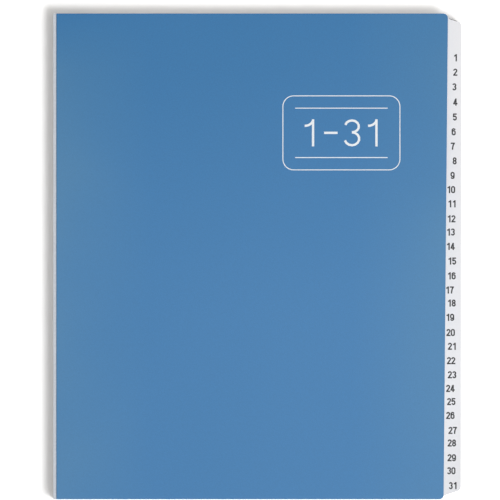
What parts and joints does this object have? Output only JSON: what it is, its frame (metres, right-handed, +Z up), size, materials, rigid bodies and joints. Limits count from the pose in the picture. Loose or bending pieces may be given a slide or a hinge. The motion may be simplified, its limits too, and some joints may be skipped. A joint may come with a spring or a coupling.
{
  "type": "desk file sorter",
  "caption": "Desk file sorter: two plastic covers on a pleated spine, holding card dividers with stepped tabs along the fore edge.",
  "frame": {"origin": "middle of the footprint, on the surface that the sorter lies on", "axes": "+X from the spine to the tabs, +Y from the foot of the covers to their head, +Z up through the stack from the back cover to the front cover"},
  "size_m": [0.2562, 0.3048, 0.0243],
  "materials": {
    "cover": "smooth satin",
    "divider": "smooth coated card",
    "pleat": "matt folded sheet"
  },
  "bodies": {
    "divider_block": {"spine_gusset": "pleat", "divider_01": "divider", "divider_02": "divider", "divider_03": "divider", "divider_04": "divider", "divider_05": "divider", "divider_06": "divider", "divider_07": "divider", "divider_08": "divider", "divider_09": "divider", "divider_10": "divider", "divider_11": "divider", "divider_12": "divider", "divider_13": "divider", "divider_14": "divider", "divider_15": "divider", "divider_16": "divider", "divider_17": "divider", "divider_18": "divider", "divider_19": "divider", "divider_20": "divider", "divider_21": "divider", "divider_22": "divider", "divider_23": "divider", "divider_24": "divider", "divider_25": "divider", "divider_26": "divider", "divider_27": "divider", "divider_28": "divider", "divider_29": "divider", "divider_30": "divider", "divider_31": "divider"},
    "front_cover": {"front_cover": "cover"},
    "back_cover": {"back_cover": "cover"}
  },
  "joints": [
    {"name": "front_cover_hinge", "type": "hinge", "parent": "divider_block", "child": "front_cover", "pos_m": [-0.12757, 0, 0.02307], "axis": [0, -1, 0], "range_deg": [0, 180]},
    {"name": "back_cover_hinge", "type": "hinge", "parent": "divider_block", "child": "back_cover", "pos_m": [-0.12757, 0, 0.00119], "axis": [0, 1, 0], "range_deg": [0, 180]}
  ]
}
